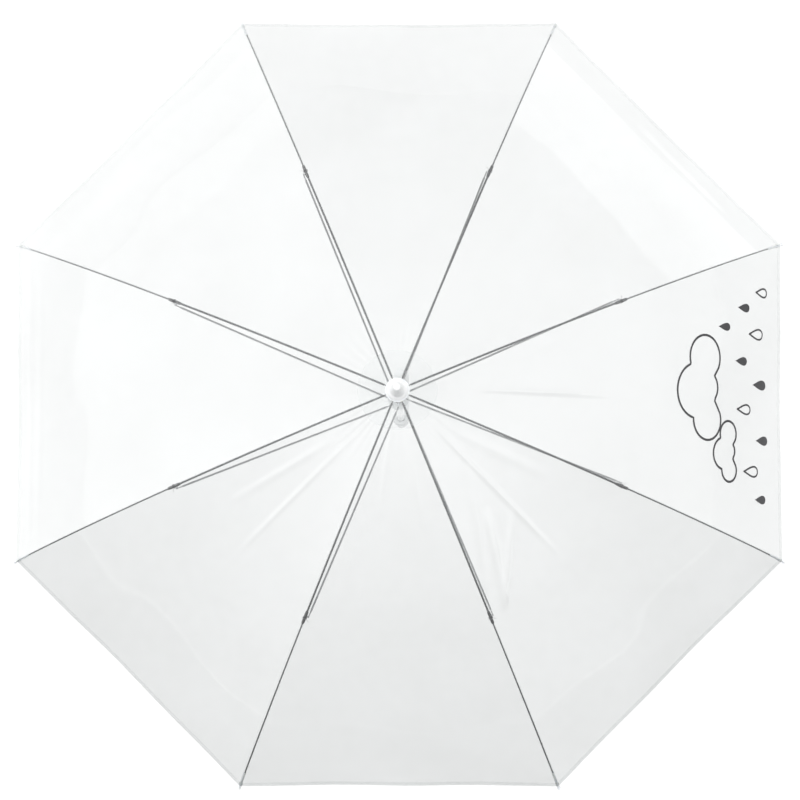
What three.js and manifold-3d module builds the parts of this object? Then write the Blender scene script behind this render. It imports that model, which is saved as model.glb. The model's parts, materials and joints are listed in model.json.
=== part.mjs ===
// A clear dome umbrella, open, in millimetres with +Z up.
// The origin is the middle of the handle's straight grip, and the shaft runs along +Z to the crown.
// Azimuth 0 is +X. The eight ribs stand at 22.5 degrees and every 45 degrees from there.

import * as THREE from "three";
import { mergeVertices } from "three/addons/utils/BufferGeometryUtils.js";
import Module from "manifold-3d";

const wasm = await Module();
wasm.setup();

// ---- driving dimensions ----

const RIB_COUNT = 8;
const GAP = 0.3; // running clearance, and the space left between touching pieces

const CROWN_Z = 660; // height of the circle that the ribs hinge on
const RUNNER_Z = 482; // height of the circle that the stretchers hinge on, umbrella open

const DOME_RADIUS = 612; // radius of the arc that each rib follows, centred on the shaft's axis
const DOME_TURN = 54; // degrees that the arc turns from the crown to the rim
const JOINT_TURN = 27; // degrees from the crown to the rib joint
const ARC_STEP = 3; // degrees between the points of every arc on the dome

const RIB_PIVOT_RADIUS = 9;
const FOLDED_TIP_RADIUS = 22; // of the ribs' ends, umbrella closed
const RUNNER_PIVOT_RADIUS = 10.5;
const STRETCHER_SIDE = 3.5; // how far each stretcher lies beside its rib
const JOINT_DROP = 4.5; // from a rib's centre line down to its stretcher's pivot

const CHANNEL_WIDTH = 2.6;
const CHANNEL_HEIGHT = 2.2;
const CHANNEL_WALL = 0.6;
const TAB_THICKNESS = 1.2;
const TAB_LENGTH = 8;
const TAB_HALF_WIDTH = 0.9;
const EYE_RADIUS = 1.5;
const EYE_HOLE = 0.72;
const ROD_RADIUS = 1;

const SLEEVE_LENGTH = 16;
const SLEEVE_WIDTH = 3.2;
const SLEEVE_HEIGHT = 3.4;

const FILM_OFFSET = 2.8; // from a rib's centre line up to the underside of the film
const FILM_THICKNESS = 0.8;
const FILM_HOLE = 12.5; // radius where the film starts, under the cap
const HEM_SCALLOP = 3; // how far the rim bows in between two ribs
const FILM_SEAM = 0.25; // half the gap between two panels
const PANEL_STEPS_ACROSS = 4;

const SHAFT_RADIUS = 5;
const SHAFT_BORE = 4.2;
const SHAFT_FOOT_Z = 10.5;
const SHAFT_TOP = 21; // above the crown circle

const STOP_PIN_RADIUS = 0.8;
const STOP_PIN_LENGTH = 15;
const STOP_PIN_RISE = 1.4; // from the top of the runner, umbrella open, up to the pin

const WIRE_RADIUS = 0.35;
const GROOVE_HALF = 0.9;
const SLOT_WIDTH = 2;

const CROWN_RADIUS = 11;
const CROWN_GROOVE_RADIUS = 8.2;
const CROWN_SLOT_START = 7.1;
const CROWN_FOOT = -5; // below the circle that the ribs hinge on
const CROWN_TOP = 2.2;

const WASHER_RADIUS = 14;
const WASHER_THICKNESS = 1;
const FERRULE_HEIGHT = 57;

const CATCH_NOSE_RADIUS = 7.8;
const CATCH_NOSE_HEIGHT = 8;
const CATCH_ARM = 30;
const CATCH_THICKNESS = 1.6;
const CATCH_BACK = 1; // from the shaft's axis to the back and the front of the strip
const CATCH_FRONT = 3.6;

const RUNNER_TUBE_RADIUS = 8;
const RUNNER_TUBE_LENGTH = 40;
const RUNNER_HEAD_RADIUS = 12.5;
const RUNNER_HEAD_TOP = 2.6;
const RUNNER_HEAD_FOOT = 5;
const RUNNER_GROOVE_RADIUS = 9.7;
const WINDOW_DROP = 20; // from the runner's pivot circle down to the middle of its window

const GRIP_RADIUS = 9.5;
const GRIP_TOP_Z = 55;
const GRIP_FOOT_Z = -25;
const CROOK_RADIUS = 30;
const CROOK_END = 14; // straight length after the bend
const COLLAR_RADIUS = 10.7;
const COLLAR_HEIGHT = 12;

// ---- materials ----

const paint = (color, roughness, metalness) =>
  new THREE.MeshStandardMaterial({ color, roughness, metalness });
const whitePlastic = paint(0xf0f1f1, 0.4, 0);
const whiteEnamel = paint(0xe9eaea, 0.35, 0.2);
const darkSteel = paint(0x4a4c4f, 0.35, 0.9);
const paleSteel = paint(0x9a9da1, 0.3, 0.9);
const blackPlastic = paint(0x1c1c1e, 0.5, 0);
const milkyPlastic = paint(0xe6e9ec, 0.3, 0);
const clearFilm = new THREE.MeshStandardMaterial({
  color: 0xf2f5f6,
  roughness: 0.1,
  metalness: 0,
  transparent: true,
  opacity: 0.3,
});

// ---- helpers ----

const radians = (degrees) => (degrees * Math.PI) / 180;
const umbrella = new THREE.Group();

function solid(geometry) {
  const bare = geometry.clone();
  bare.deleteAttribute("normal");
  bare.deleteAttribute("uv");
  const merged = mergeVertices(bare, 1e-4);
  return new wasm.Manifold(
    new wasm.Mesh({
      numProp: 3,
      vertProperties: merged.attributes.position.array,
      triVerts: new Uint32Array(merged.index.array),
    }),
  );
}

function geometryOf(manifold) {
  const { vertProperties, triVerts } = manifold.getMesh();
  const geometry = new THREE.BufferGeometry();
  geometry.setAttribute("position", new THREE.BufferAttribute(vertProperties, 3));
  geometry.setIndex(new THREE.BufferAttribute(triVerts, 1));
  return geometry;
}

function addMesh(parent, name, geometry, material) {
  const mesh = new THREE.Mesh(geometry, material);
  mesh.name = name;
  parent.add(mesh);
  return mesh;
}

// A point on a rib's arc at an angle from the crown: x is the distance from the shaft's axis, and y the
// height above the crown.
function arcPoint(turn, lift = 0) {
  const reach = DOME_RADIUS + lift;
  return new THREE.Vector2(
    reach * Math.sin(radians(turn)),
    reach * Math.cos(radians(turn)) - DOME_RADIUS,
  );
}

// The turns from one angle to another, with every whole step of ARC_STEP between them.
function arcTurns(from, to) {
  const turns = [from];
  const hair = 1e-6;
  const first = Math.ceil((from + hair) / ARC_STEP) * ARC_STEP;
  for (let turn = first; turn < to - hair; turn += ARC_STEP) {
    turns.push(turn);
  }
  return [...turns, to];
}

// A flat outline in a rib's own plane (x outward, y up), made a plate of the given width beside that plane.
function plate(shape, width, side = 0) {
  const geometry = new THREE.ExtrudeGeometry(shape, {
    depth: width,
    bevelEnabled: false,
    curveSegments: 4,
  });
  geometry.rotateX(Math.PI / 2);
  geometry.translate(0, side + width / 2, 0);
  return geometry;
}

// A bar that follows a rib's arc, from one lift above the centre line to another.
function arcBar(from, to, low, high, width) {
  const turns = arcTurns(from, to);
  const outline = [
    ...turns.map((turn) => arcPoint(turn, high)),
    ...turns.reverse().map((turn) => arcPoint(turn, low)),
  ];
  return plate(new THREE.Shape(outline), width);
}

// A flat strip with a round eye at its first end and a square second end.
function eyeStrip(start, end) {
  const along = end.clone().sub(start).normalize();
  const heading = Math.atan2(along.y, along.x);
  const across = new THREE.Vector2(-along.y, along.x).multiplyScalar(TAB_HALF_WIDTH);
  const far = [end.clone().sub(across), end.clone().add(across)];
  const round = [];
  const roundSteps = 5;
  for (let step = 0; step <= roundSteps; step++) {
    const angle = heading + Math.PI / 2 + (Math.PI * step) / roundSteps;
    round.push(
      new THREE.Vector2(
        start.x + EYE_RADIUS * Math.cos(angle),
        start.y + EYE_RADIUS * Math.sin(angle),
      ),
    );
  }
  const shape = new THREE.Shape([...round, ...far]);
  const hole = new THREE.Path();
  hole.absarc(start.x, start.y, EYE_HOLE, 0, 2 * Math.PI, true);
  shape.holes.push(hole);
  return shape;
}

function turned(points, segments) {
  return new THREE.LatheGeometry(
    points.map(([r, z]) => new THREE.Vector2(r, z)),
    segments,
  ).rotateX(Math.PI / 2);
}

function boxAt(sizeX, sizeY, sizeZ, x, y, z) {
  return new THREE.BoxGeometry(sizeX, sizeY, sizeZ).translate(x, y, z);
}

// Runs a step for each rib, in a group turned to that rib's azimuth with its floor at the crown circle.
function forEachRib(step) {
  for (let index = 0; index < RIB_COUNT; index++) {
    const group = new THREE.Group();
    group.rotation.z = radians((index + 0.5) * (360 / RIB_COUNT));
    group.position.z = CROWN_Z;
    umbrella.add(group);
    step(group, index + 1, group.rotation.z);
  }
}

// ---- the shaft and what is fixed to it ----

// A catch is a strip inside the shaft with a nose that stands out through a slot. One side of the nose is
// square and holds the runner; the other slopes, so that the runner presses it in as it comes past.
function catchOutline(noseTop, slopeAtTop) {
  const noseFoot = noseTop - CATCH_NOSE_HEIGHT;
  const foot = noseTop - CATCH_ARM;
  const outline = [
    [CATCH_BACK, foot],
    [CATCH_FRONT, foot],
    [CATCH_FRONT, noseFoot],
    [CATCH_NOSE_RADIUS, slopeAtTop ? noseFoot : noseTop],
    [CATCH_FRONT, noseTop],
    [CATCH_BACK, noseTop],
  ];
  return new THREE.Shape(outline.map(([x, y]) => new THREE.Vector2(x, y)));
}

const UPPER_CATCH_TOP = RUNNER_Z - RUNNER_TUBE_LENGTH - 1;
const LOWER_CATCH_TOP = closedRunnerZ() - WINDOW_DROP + CATCH_NOSE_HEIGHT / 2;
const STOP_PIN_Z = RUNNER_Z + RUNNER_HEAD_TOP + STOP_PIN_RISE;

// The height that the stretchers' circle reaches when the ribs are folded down beside the shaft.
function closedRunnerZ() {
  const tip = arcPoint(DOME_TURN);
  const tipReach = Math.hypot(tip.x - RIB_PIVOT_RADIUS, tip.y);
  const openTilt = Math.atan2(-tip.y, tip.x - RIB_PIVOT_RADIUS);
  const fold = Math.acos((FOLDED_TIP_RADIUS - RIB_PIVOT_RADIUS) / tipReach) - openTilt;
  const joint = stretcherEnd();
  const jointReach = Math.hypot(joint.x - RIB_PIVOT_RADIUS, joint.y);
  const jointTilt = Math.atan2(-joint.y, joint.x - RIB_PIVOT_RADIUS) + fold;
  const start = stretcherStart();
  const length = joint.distanceTo(start);
  const run = RIB_PIVOT_RADIUS + jointReach * Math.cos(jointTilt) - start.x;
  const drop = jointReach * Math.sin(jointTilt) + Math.sqrt(length ** 2 - run ** 2);
  return CROWN_Z - drop;
}

function stretcherStart() {
  return new THREE.Vector2(
    Math.sqrt(RUNNER_PIVOT_RADIUS ** 2 - STRETCHER_SIDE ** 2),
    RUNNER_Z - CROWN_Z,
  );
}

function stretcherEnd() {
  const centre = arcPoint(JOINT_TURN);
  const outward = new THREE.Vector2(Math.sin(radians(JOINT_TURN)), Math.cos(radians(JOINT_TURN)));
  return centre.sub(outward.multiplyScalar(JOINT_DROP));
}

function addShaft() {
  const top = CROWN_Z + SHAFT_TOP;
  const tube = turned(
    [
      [SHAFT_BORE, SHAFT_FOOT_Z],
      [SHAFT_RADIUS, SHAFT_FOOT_Z],
      [SHAFT_RADIUS, top],
      [SHAFT_BORE, top],
      [SHAFT_BORE, SHAFT_FOOT_Z],
    ],
    16,
  );
  const slotDepth = 4;
  const slotWidth = CATCH_THICKNESS + 0.8;
  const slotHeight = CATCH_NOSE_HEIGHT + 2.4;
  let shaft = solid(tube);
  for (const noseTop of [UPPER_CATCH_TOP, LOWER_CATCH_TOP]) {
    const middle = noseTop - CATCH_NOSE_HEIGHT / 2;
    shaft = shaft.subtract(solid(boxAt(slotDepth, slotWidth, slotHeight, SHAFT_RADIUS, 0, middle)));
  }
  const holeRadius = STOP_PIN_RADIUS + GAP;
  const pinHole = new THREE.CylinderGeometry(holeRadius, holeRadius, 3 * SHAFT_RADIUS, 10);
  shaft = shaft.subtract(solid(pinHole.translate(0, 0, STOP_PIN_Z)));
  addMesh(umbrella, "shaft_tube", geometryOf(shaft), whiteEnamel);

  const pin = new THREE.CylinderGeometry(STOP_PIN_RADIUS, STOP_PIN_RADIUS, STOP_PIN_LENGTH, 8);
  addMesh(umbrella, "runner_stop_pin", pin, paleSteel).position.z = STOP_PIN_Z;

  const thick = CATCH_THICKNESS;
  addMesh(umbrella, "upper_catch", plate(catchOutline(UPPER_CATCH_TOP, false), thick), paleSteel);
  addMesh(umbrella, "lower_catch", plate(catchOutline(LOWER_CATCH_TOP, true), thick), paleSteel);
}

// A notched ring: a spool whose groove holds a wire, with a radial slot for each rib or stretcher.
function notchedSpool(profile, side, slotStart, slotReach, slotLow, slotHigh) {
  let spool = solid(turned(profile, 32));
  const slot = boxAt(
    slotReach - slotStart,
    SLOT_WIDTH,
    slotHigh - slotLow,
    (slotStart + slotReach) / 2,
    side,
    (slotLow + slotHigh) / 2,
  );
  for (let index = 0; index < RIB_COUNT; index++) {
    const azimuth = radians((index + 0.5) * (360 / RIB_COUNT));
    spool = spool.subtract(solid(slot.clone().rotateZ(azimuth)));
  }
  return spool;
}

function addCrown() {
  const bore = SHAFT_RADIUS + GAP;
  const profile = [
    [bore, CROWN_FOOT],
    [CROWN_RADIUS, CROWN_FOOT],
    [CROWN_RADIUS, -GROOVE_HALF],
    [CROWN_GROOVE_RADIUS, -GROOVE_HALF],
    [CROWN_GROOVE_RADIUS, GROOVE_HALF],
    [CROWN_RADIUS, GROOVE_HALF],
    [CROWN_RADIUS, CROWN_TOP],
    [bore, CROWN_TOP],
    [bore, CROWN_FOOT],
  ];
  const crown = notchedSpool(profile, 0, CROWN_SLOT_START, CROWN_RADIUS + 1, CROWN_FOOT - 1, CROWN_TOP + 1);
  addMesh(umbrella, "crown", geometryOf(crown), whitePlastic).position.z = CROWN_Z;
  const wire = new THREE.TorusGeometry(RIB_PIVOT_RADIUS, WIRE_RADIUS, 5, 32);
  addMesh(umbrella, "crown_wire", wire, paleSteel).position.z = CROWN_Z;
}

function addCap() {
  const bore = SHAFT_RADIUS + GAP;
  const washerFoot = FILM_OFFSET + FILM_THICKNESS + GAP;
  const washerTop = washerFoot + WASHER_THICKNESS;
  const washer = turned(
    [
      [bore, washerFoot],
      [WASHER_RADIUS, washerFoot],
      [WASHER_RADIUS - 0.6, washerTop],
      [bore, washerTop],
      [bore, washerFoot],
    ],
    24,
  );
  addMesh(umbrella, "cap_washer", washer, milkyPlastic).position.z = CROWN_Z;

  // a flange, then a spike that tapers to a flat end
  const foot = washerTop + GAP;
  const ferruleTop = foot + FERRULE_HEIGHT;
  const ferrule = turned(
    [
      [bore, foot],
      [12, foot],
      [11.6, foot + 1.6],
      [8.4, foot + 3],
      [7.4, foot + 8],
      [5, ferruleTop - 9],
      [4.4, ferruleTop - 1],
      [3.6, ferruleTop],
      [0, ferruleTop],
      [0, SHAFT_TOP + GAP],
      [bore, SHAFT_TOP + GAP],
      [bore, foot],
    ],
    20,
  );
  addMesh(umbrella, "ferrule", ferrule, whitePlastic).position.z = CROWN_Z;
}

// ---- the runner ----

function addRunner() {
  const bore = SHAFT_RADIUS + 0.4;
  const groove = RUNNER_GROOVE_RADIUS;
  const head = RUNNER_HEAD_RADIUS;
  const neck = RUNNER_TUBE_RADIUS;
  const profile = [
    [bore, -RUNNER_TUBE_LENGTH],
    [neck + 1.2, -RUNNER_TUBE_LENGTH],
    [neck + 1.2, -RUNNER_TUBE_LENGTH + 3],
    [neck, -RUNNER_TUBE_LENGTH + 4],
    [neck, -RUNNER_HEAD_FOOT - 2],
    [head, -RUNNER_HEAD_FOOT],
    [head, -GROOVE_HALF],
    [groove, -GROOVE_HALF],
    [groove, GROOVE_HALF],
    [head, GROOVE_HALF],
    [head, RUNNER_HEAD_TOP],
    [bore, RUNNER_HEAD_TOP],
    [bore, -RUNNER_TUBE_LENGTH],
  ];
  const low = -RUNNER_HEAD_FOOT - 3;
  const high = RUNNER_HEAD_TOP + 1;
  let runner = notchedSpool(profile, STRETCHER_SIDE, neck + 0.1, head + 1, low, high);
  const windowHeight = CATCH_NOSE_HEIGHT + 1;
  const catchWindow = boxAt(6, CATCH_THICKNESS + 1, windowHeight, neck, 0, -WINDOW_DROP);
  runner = runner.subtract(solid(catchWindow));
  addMesh(umbrella, "runner", geometryOf(runner), whitePlastic).position.z = RUNNER_Z;
  const wire = new THREE.TorusGeometry(RUNNER_PIVOT_RADIUS, WIRE_RADIUS, 5, 32);
  addMesh(umbrella, "runner_wire", wire, paleSteel).position.z = RUNNER_Z;
}

// ---- the ribs ----

const turnOf = (length) => THREE.MathUtils.radToDeg(length / DOME_RADIUS);
const SLEEVE_TURN = turnOf(SLEEVE_LENGTH / 2 + GAP);

// The channel from the crown to the rib joint, open underneath, with the eye that the crown's wire holds.
function innerRib() {
  const from = turnOf(RIB_PIVOT_RADIUS + TAB_LENGTH - 1);
  const to = JOINT_TURN - SLEEVE_TURN;
  const half = CHANNEL_HEIGHT / 2;
  const outer = solid(arcBar(from, to, -half, half, CHANNEL_WIDTH));
  const hollowWidth = CHANNEL_WIDTH - 2 * CHANNEL_WALL;
  const hollow = solid(arcBar(from + turnOf(2), to + 1, -half - 1, half - CHANNEL_WALL, hollowWidth));
  const eye = new THREE.Vector2(RIB_PIVOT_RADIUS, 0);
  const tab = eyeStrip(eye, arcPoint(from + turnOf(1)));
  return geometryOf(outer.subtract(hollow).add(solid(plate(tab, TAB_THICKNESS))));
}

// The sleeve at the rib joint, with the ear and boss that carry the stretcher's end.
function ribJoint() {
  const half = SLEEVE_LENGTH / 2;
  const high = SLEEVE_HEIGHT / 2;
  const low = -SLEEVE_HEIGHT / 2;
  const earHalf = 2.2;
  const earFoot = -JOINT_DROP - 1.6;
  const outline = [
    [-half, low],
    [-earHalf - 2, low],
    [-earHalf, earFoot],
    [earHalf, earFoot],
    [earHalf + 2, low],
    [half, low],
    [half, high],
    [-half, high],
  ].map(([x, y]) => new THREE.Vector2(x, y));
  const bossReach = STRETCHER_SIDE - TAB_THICKNESS / 2 - GAP;
  const boss = new THREE.CylinderGeometry(1.2, 1.2, bossReach, 8).translate(0, bossReach / 2, -JOINT_DROP);
  return geometryOf(solid(plate(new THREE.Shape(outline), SLEEVE_WIDTH)).add(solid(boss)));
}

// The spring rod from the rib joint to the rim.
function outerRib() {
  const turns = arcTurns(JOINT_TURN + SLEEVE_TURN, DOME_TURN);
  const points = turns.map((turn) => arcPoint(turn)).map(({ x, y }) => new THREE.Vector3(x, 0, y));
  const path = new THREE.CatmullRomCurve3(points);
  const section = new THREE.Shape();
  section.absarc(0, 0, ROD_RADIUS, 0, 2 * Math.PI);
  const steps = turns.length - 1;
  return new THREE.ExtrudeGeometry(section, { extrudePath: path, steps, curveSegments: 3 });
}

// The cap that the rod's end sits in: a socket that narrows to a ball.
function tipCap() {
  const socket = ROD_RADIUS + GAP;
  return turned(
    [
      [0, 0.6],
      [socket, 0.6],
      [socket, -4],
      [2.1, -4],
      [2.1, 2],
      [1.5, 4.5],
      [1.5, 7],
      [2.2, 8.6],
      [1.6, 10.4],
      [0, 11],
      [0, 0.6],
    ],
    8,
  );
}

function placeOnArc(mesh, turn) {
  const at = arcPoint(turn);
  mesh.position.set(at.x, 0, at.y);
  mesh.rotation.y = radians(turn);
  return mesh;
}

// The channel from the runner to the rib joint, with an eye at each end. The outer eye stands free beside
// its boss.
function stretcher() {
  const start = stretcherStart();
  const end = stretcherEnd();
  const along = end.clone().sub(start).normalize();
  const from = start.clone().addScaledVector(along, TAB_LENGTH - 1);
  const to = end.clone().addScaledVector(along, 1 - TAB_LENGTH);
  const across = new THREE.Vector2(-along.y, along.x);
  const bar = (a, b, low, high) =>
    new THREE.Shape([
      a.clone().addScaledVector(across, low),
      b.clone().addScaledVector(across, low),
      b.clone().addScaledVector(across, high),
      a.clone().addScaledVector(across, high),
    ]);
  const half = CHANNEL_HEIGHT / 2;
  const hollowStart = from.clone().addScaledVector(along, 2);
  const hollowEnd = to.clone().addScaledVector(along, -2);
  const hollowWidth = CHANNEL_WIDTH - 2 * CHANNEL_WALL;
  const outer = solid(plate(bar(from, to, -half, half), CHANNEL_WIDTH, STRETCHER_SIDE));
  const hollowShape = bar(hollowStart, hollowEnd, CHANNEL_WALL - half, half + 1);
  const hollow = solid(plate(hollowShape, hollowWidth, STRETCHER_SIDE));
  const overlap = 1;
  const innerTab = eyeStrip(start, from.clone().addScaledVector(along, overlap));
  const outerTab = eyeStrip(end, to.clone().addScaledVector(along, -overlap));
  return geometryOf(
    outer
      .subtract(hollow)
      .add(solid(plate(innerTab, TAB_THICKNESS, STRETCHER_SIDE)))
      .add(solid(plate(outerTab, TAB_THICKNESS, STRETCHER_SIDE))),
  );
}

function addRibs() {
  const inner = innerRib();
  const joint = ribJoint();
  const outer = outerRib();
  const tip = tipCap().rotateY(Math.PI / 2);
  const strut = stretcher();
  forEachRib((group, number) => {
    addMesh(group, `rib_inner_${number}`, inner, darkSteel);
    placeOnArc(addMesh(group, `rib_joint_${number}`, joint, blackPlastic), JOINT_TURN);
    addMesh(group, `rib_outer_${number}`, outer, paleSteel);
    placeOnArc(addMesh(group, `rib_tip_${number}`, tip, milkyPlastic), DOME_TURN);
    addMesh(group, `stretcher_${number}`, strut, darkSteel);
  });
}

// ---- the canopy ----

// One panel of film from a rib to the next. It is straight from rib to rib, and its rim bows in a little.
function panel() {
  const width = radians(360 / RIB_COUNT);
  const firstTurn = turnOf(FILM_HOLE);
  const turns = arcTurns(firstTurn, DOME_TURN);
  const across = PANEL_STEPS_ACROSS;
  const positions = [];
  const edgePoint = (turn, lift, azimuth, inset) => {
    const { x, y } = arcPoint(turn, lift);
    return new THREE.Vector3(
      x * Math.cos(azimuth) - inset * Math.sin(azimuth),
      x * Math.sin(azimuth) + inset * Math.cos(azimuth),
      y,
    );
  };
  for (const lift of [FILM_OFFSET, FILM_OFFSET + FILM_THICKNESS]) {
    for (const turn of turns) {
      for (let step = 0; step <= across; step++) {
        const share = step / across;
        const bow = turn === DOME_TURN ? 4 * share * (1 - share) * turnOf(HEM_SCALLOP) : 0;
        const start = edgePoint(turn - bow, lift, 0, FILM_SEAM);
        const end = edgePoint(turn - bow, lift, width, -FILM_SEAM);
        positions.push(...start.lerp(end, share).toArray());
      }
    }
  }
  const row = across + 1;
  const layer = row * turns.length;
  const index = [];
  const quad = (a, b, c, d) => index.push(a, b, c, a, c, d);
  for (let i = 0; i < turns.length - 1; i++) {
    for (let j = 0; j < across; j++) {
      const corner = i * row + j;
      quad(corner, corner + 1, corner + row + 1, corner + row);
      quad(layer + corner, layer + corner + row, layer + corner + row + 1, layer + corner + 1);
    }
    const left = i * row;
    const right = left + across;
    quad(left, left + row, layer + left + row, layer + left);
    quad(right, layer + right, layer + right + row, right + row);
  }
  const last = (turns.length - 1) * row;
  for (let j = 0; j < across; j++) {
    quad(j, layer + j, layer + j + 1, j + 1);
    quad(last + j, last + j + 1, layer + last + j + 1, layer + last + j);
  }
  const geometry = new THREE.BufferGeometry();
  geometry.setAttribute("position", new THREE.Float32BufferAttribute(positions, 3));
  geometry.setIndex(index);
  return geometry;
}

function addCanopy() {
  const film = panel();
  forEachRib((group, number) => addMesh(group, `canopy_panel_${number}`, film, clearFilm));
}

// ---- the handle ----

function addHandle() {
  const crookCentre = new THREE.Vector3(0, CROOK_RADIUS, GRIP_FOOT_Z);
  const points = [
    new THREE.Vector3(0, 0, GRIP_TOP_Z),
    new THREE.Vector3(0, 0, (GRIP_TOP_Z + GRIP_FOOT_Z) / 2),
  ];
  const arcSteps = 12;
  const sweepSteps = 26;
  for (let step = 0; step <= arcSteps; step++) {
    const angle = (Math.PI * step) / arcSteps;
    points.push(
      new THREE.Vector3(
        0,
        crookCentre.y - CROOK_RADIUS * Math.cos(angle),
        crookCentre.z - CROOK_RADIUS * Math.sin(angle),
      ),
    );
  }
  const end = new THREE.Vector3(0, 2 * CROOK_RADIUS, GRIP_FOOT_Z + CROOK_END);
  points.push(end);
  const section = new THREE.Shape();
  section.absarc(0, 0, GRIP_RADIUS, 0, 2 * Math.PI);
  const crook = new THREE.ExtrudeGeometry(section, {
    extrudePath: new THREE.CatmullRomCurve3(points, false, "centripetal"),
    steps: sweepSteps,
    curveSegments: 6,
  });
  const endBall = new THREE.SphereGeometry(GRIP_RADIUS - 0.05, 12, 8).translate(...end.toArray());
  const collar = turned(
    [
      [0, GRIP_TOP_Z - COLLAR_HEIGHT],
      [COLLAR_RADIUS, GRIP_TOP_Z - COLLAR_HEIGHT],
      [COLLAR_RADIUS, GRIP_TOP_Z - 1],
      [GRIP_RADIUS, GRIP_TOP_Z + 1],
      [0, GRIP_TOP_Z + 1],
    ],
    20,
  );
  const boreRadius = SHAFT_RADIUS + GAP;
  const boreFoot = SHAFT_FOOT_Z - GAP;
  const boreLength = GRIP_TOP_Z + 2 - boreFoot;
  const bore = new THREE.CylinderGeometry(boreRadius, boreRadius, boreLength, 20)
    .rotateX(Math.PI / 2)
    .translate(0, 0, boreFoot + boreLength / 2);
  const handle = solid(crook).add(solid(endBall)).add(solid(collar)).subtract(solid(bore));
  addMesh(umbrella, "crook_handle", geometryOf(handle), whitePlastic);
}

addShaft();
addCrown();
addCap();
addRunner();
addRibs();
addCanopy();
addHandle();

export default umbrella;
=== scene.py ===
import json
import math

import bmesh
import bpy
import numpy as np
from mathutils import Matrix, Vector


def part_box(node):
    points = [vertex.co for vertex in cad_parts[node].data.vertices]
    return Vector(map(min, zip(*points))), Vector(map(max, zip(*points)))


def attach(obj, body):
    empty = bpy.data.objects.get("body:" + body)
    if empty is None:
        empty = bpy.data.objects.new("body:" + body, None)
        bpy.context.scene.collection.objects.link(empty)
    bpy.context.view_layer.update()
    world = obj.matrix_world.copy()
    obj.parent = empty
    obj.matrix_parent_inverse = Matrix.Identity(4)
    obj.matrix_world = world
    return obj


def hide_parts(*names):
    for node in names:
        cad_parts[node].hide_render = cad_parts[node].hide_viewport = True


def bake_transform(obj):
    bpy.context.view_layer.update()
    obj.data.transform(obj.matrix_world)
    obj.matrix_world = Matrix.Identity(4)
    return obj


# A clear dome umbrella, in metres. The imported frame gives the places; the film and the finer metalwork and
# mouldings that show are made here. Rib i stands at the azimuth rib_azimuth(i), and panel i of the film lies
# between rib i and rib i + 1, anticlockwise from above.

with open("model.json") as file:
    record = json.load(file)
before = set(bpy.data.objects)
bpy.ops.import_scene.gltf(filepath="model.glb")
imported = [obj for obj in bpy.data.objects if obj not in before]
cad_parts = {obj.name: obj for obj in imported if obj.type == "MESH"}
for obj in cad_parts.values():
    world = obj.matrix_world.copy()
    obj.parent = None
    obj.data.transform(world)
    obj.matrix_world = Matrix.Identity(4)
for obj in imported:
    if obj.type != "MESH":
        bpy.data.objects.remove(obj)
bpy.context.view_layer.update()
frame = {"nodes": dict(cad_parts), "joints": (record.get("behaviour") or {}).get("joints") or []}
JOINTS = {joint["name"]: joint for joint in frame["joints"]}

# ---- sizes ----

RIB_COUNT = 8
PANEL_TURN = 2 * math.pi / RIB_COUNT
CROWN_Z = JOINTS["rib_hinge_1"]["pos_m"][2]
RUNNER_Z = JOINTS["stretcher_hinge_1"]["pos_m"][2]
RIB_PIVOT_RADIUS = math.hypot(*JOINTS["rib_hinge_1"]["pos_m"][:2])
RUNNER_PIVOT_RADIUS = math.hypot(*JOINTS["stretcher_hinge_1"]["pos_m"][:2])

DOME_RADIUS = 0.612
RIM_TURN = math.radians(54)
JOINT_TURN = math.radians(27)

FILM_LIFT = 0.0032  # of the film above a rib's centre line
FILM_HOLE = 0.0125  # radius at which the film starts, under the cap
FILM_COLUMNS = 96
FILM_ROWS = 168
ROW_SPREAD = 0.9  # under 1, so that the rows lie closer together towards the rim
FILM_SAG = 0.0035  # of a panel's middle below the straight surface between its ribs
HEM_SCALLOP = 0.003  # how far the rim's edge bows in between two tips
HEM_BEND = 0.002  # how far from the edge the flat film ends and the hem's bend starts
# The hem folded under: how far each row of points lies back from the edge, and its height above the film.
HEM_ROWS = [(0, 0), (0.0015, -0.0004), (0.0042, -0.0004), (0.007, -0.0004)]
SEAM_HALF = 0.002  # the part of a welded seam that lies on one panel
SEAM_START = 0.02  # from the crown to the seam's start, along the arc
SEAM_END_GAP = 0.0002
SEAM_LIFT = 0.0003
PATCH_RADIUS = 0.045
PATCH_LIFT = 0.0006

STRETCHER_SIDE = 0.0035  # how far a stretcher lies beside its rib
JOINT_DROP = 0.0045  # from a rib's centre line down to the stretcher's pivot
CHANNEL_HALF_WIDTH = 0.0011
CHANNEL_HALF_HEIGHT = 0.0011
SHEET_METAL = 0.00045
ROD_RADIUS = 0.0008
EYE_RADIUS = 0.0015
EYE_HOLE = 0.00072
TAB_HALF_WIDTH = 0.0009
TAB_HALF_THICKNESS = 0.0006
TAB_LENGTH = 0.008
PART_OVERLAP = 0.001  # how far a channel and its tab or sleeve reach into each other
ROD_INSERT = 0.003  # how far the rod reaches into the joint's sleeve
SLEEVE_HALF_LENGTH = 0.008
SLEEVE_HALF_THICKNESS = 0.0016
WIRE_RADIUS = 0.00035
TIP_REACH = 0.006  # how far a tip stands out past the rim, seen from above
TIP_SLEEVE = 0.027  # how far the tip's slim sleeve reaches up the rod
TIP_SLEEVE_RADIUS = 0.00145
TIP_SLEEVE_GAP = 0.0035  # from the sleeve's end to the rim, inside the tip
THREAD_RADIUS = 0.00018

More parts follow.
